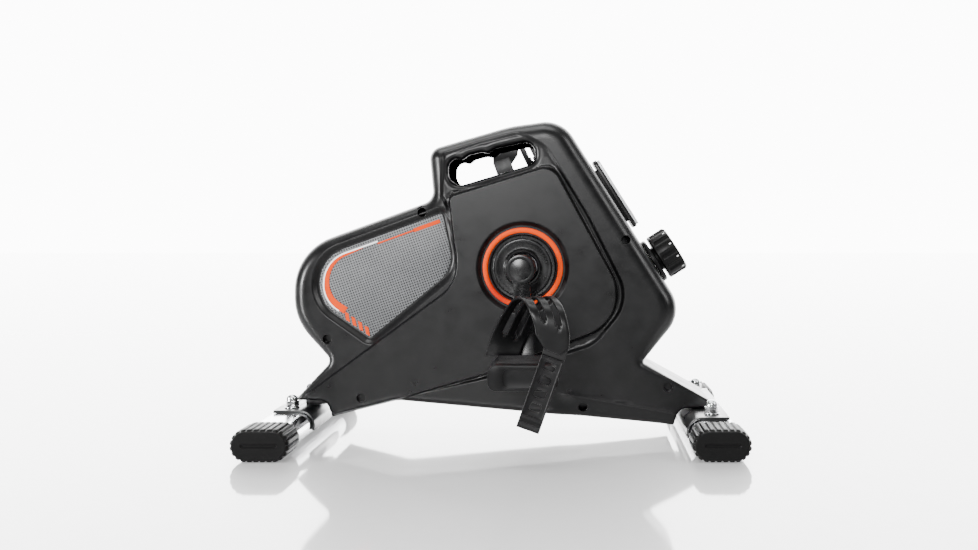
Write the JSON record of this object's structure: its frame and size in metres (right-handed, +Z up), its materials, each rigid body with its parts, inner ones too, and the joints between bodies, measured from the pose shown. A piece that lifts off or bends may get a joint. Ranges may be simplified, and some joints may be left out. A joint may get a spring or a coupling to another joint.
{
  "type": "pedal exerciser",
  "caption": "Compact under-desk pedal exerciser with a closed plastic case, carry handle, strapped pedals, belt-driven magnetic flywheel, tension knob and slim console on two floor stabilisers.",
  "frame": {"origin": "on the floor, under the middle of the machine's bounding box", "axes": "+X towards the user and the console, -Y the user's left, +Z up"},
  "size_m": [0.5, 0.4426, 0.3488],
  "materials": {
    "shell_black": "fine matte texture",
    "hub_black": "satin",
    "orange_trim": "satin",
    "button_orange": "satin",
    "badge_grey": "printed, perforated look",
    "frame_black": "powder coat",
    "crank_black": "satin black",
    "chrome_tube": "bright plated",
    "chrome_nut": "bright plated",
    "zinc_steel": "zinc plated",
    "pulley_aluminium": "turned",
    "flywheel_iron": "machined",
    "magnet_grey": "plated",
    "cap_rubber": "matte",
    "belt_rubber": "matte",
    "pedal_black": "fine matte texture",
    "strap_black": "soft matte",
    "knob_black": "satin",
    "console_silver": "satin silver paint",
    "lens_glass": "clear window",
    "board_green": "solder resist"
  },
  "bodies": {
    "base": {"left_shell": "shell_black", "right_shell": "shell_black", "shell_screws": "zinc_steel", "left_ring_trim": "orange_trim", "right_ring_trim": "orange_trim", "left_hub_cover": "hub_black", "right_hub_cover": "hub_black", "left_badge": "badge_grey", "right_badge": "badge_grey", "main_frame": "frame_black", "front_saddle": "frame_black", "rear_saddle": "frame_black", "front_stabilizer": "chrome_tube", "rear_stabilizer": "chrome_tube", "front_left_cap": "cap_rubber", "front_right_cap": "cap_rubber", "rear_left_cap": "cap_rubber", "rear_right_cap": "cap_rubber", "carriage_bolts": "zinc_steel", "bolt_washers": "zinc_steel", "domed_nuts": "chrome_nut", "left_crank_bearing": "zinc_steel", "right_crank_bearing": "zinc_steel", "flywheel_axle": "zinc_steel", "axle_nuts": "zinc_steel", "drive_belt": "belt_rubber", "idler_bolt": "zinc_steel", "magnet_pin": "zinc_steel", "return_spring": "zinc_steel", "tension_cable": "belt_rubber", "knob_bezel": "hub_black", "console_base": "hub_black", "console_bezel": "console_silver", "console_lens": "lens_glass", "circuit_board": "board_green", "coin_cell": "zinc_steel", "speed_sensor": "hub_black"},
    "crank": {"crank_axle": "zinc_steel", "drive_pulley": "pulley_aluminium", "speed_magnet": "zinc_steel", "left_crank_arm": "crank_black", "right_crank_arm": "crank_black", "crank_bolts": "zinc_steel", "crank_dust_caps": "hub_black", "left_spindle": "zinc_steel", "right_spindle": "zinc_steel"},
    "left_pedal_unit": {"left_pedal": "pedal_black", "left_pedal_cap": "pedal_black", "left_strap": "strap_black"},
    "right_pedal_unit": {"right_pedal": "pedal_black", "right_pedal_cap": "pedal_black", "right_strap": "strap_black"},
    "flywheel_unit": {"flywheel": "flywheel_iron", "flywheel_bearings": "zinc_steel"},
    "idler": {"idler_wheel": "pulley_aluminium"},
    "brake": {"magnet_bracket": "zinc_steel", "brake_magnets": "magnet_grey"},
    "knob": {"knob_shaft": "zinc_steel", "tension_knob": "knob_black"},
    "button": {"console_button": "button_orange"}
  },
  "joints": [
    {"name": "crank_spin", "type": "hinge", "parent": "base", "child": "crank", "pos_m": [0.025, 0, 0.182], "axis": [0, 1, 0], "continuous": true},
    {"name": "left_pedal_spin", "type": "hinge", "parent": "crank", "child": "left_pedal_unit", "pos_m": [0.03177, -0.17, 0.08524], "axis": [0, 1, 0], "continuous": true},
    {"name": "right_pedal_spin", "type": "hinge", "parent": "crank", "child": "right_pedal_unit", "pos_m": [0.01823, 0.17, 0.27876], "axis": [0, 1, 0], "continuous": true},
    {"name": "flywheel_spin", "type": "hinge", "parent": "base", "child": "flywheel_unit", "pos_m": [-0.132, 0, 0.158], "axis": [0, 1, 0], "continuous": true},
    {"name": "idler_spin", "type": "hinge", "parent": "base", "child": "idler", "pos_m": [-0.08028, 0, 0.11854], "axis": [0, 1, 0], "continuous": true},
    {"name": "knob_turn", "type": "hinge", "parent": "base", "child": "knob", "pos_m": [0.1655, 0, 0.1865], "axis": [0.8449, 0, 0.5349], "range_deg": [0, 300]},
    {"name": "magnet_swing", "type": "hinge", "parent": "base", "child": "brake", "pos_m": [-0.132, 0, 0.098], "axis": [0, 1, 0], "range_deg": [0, 5], "deforming": ["return_spring"]},
    {"name": "console_button_press", "type": "slide", "parent": "base", "child": "button", "axis": [-0.8449, 0, -0.5349], "range_m": [0, 0.001], "stiffness_N_per_m": 600}
  ],
  "couplings": [
    {"joint": "flywheel_spin", "follows": "crank_spin", "ratio": 5.8333},
    {"joint": "idler_spin", "follows": "crank_spin", "ratio": -6.3636},
    {"joint": "magnet_swing", "follows": "knob_turn", "ratio": 0.016667}
  ]
}
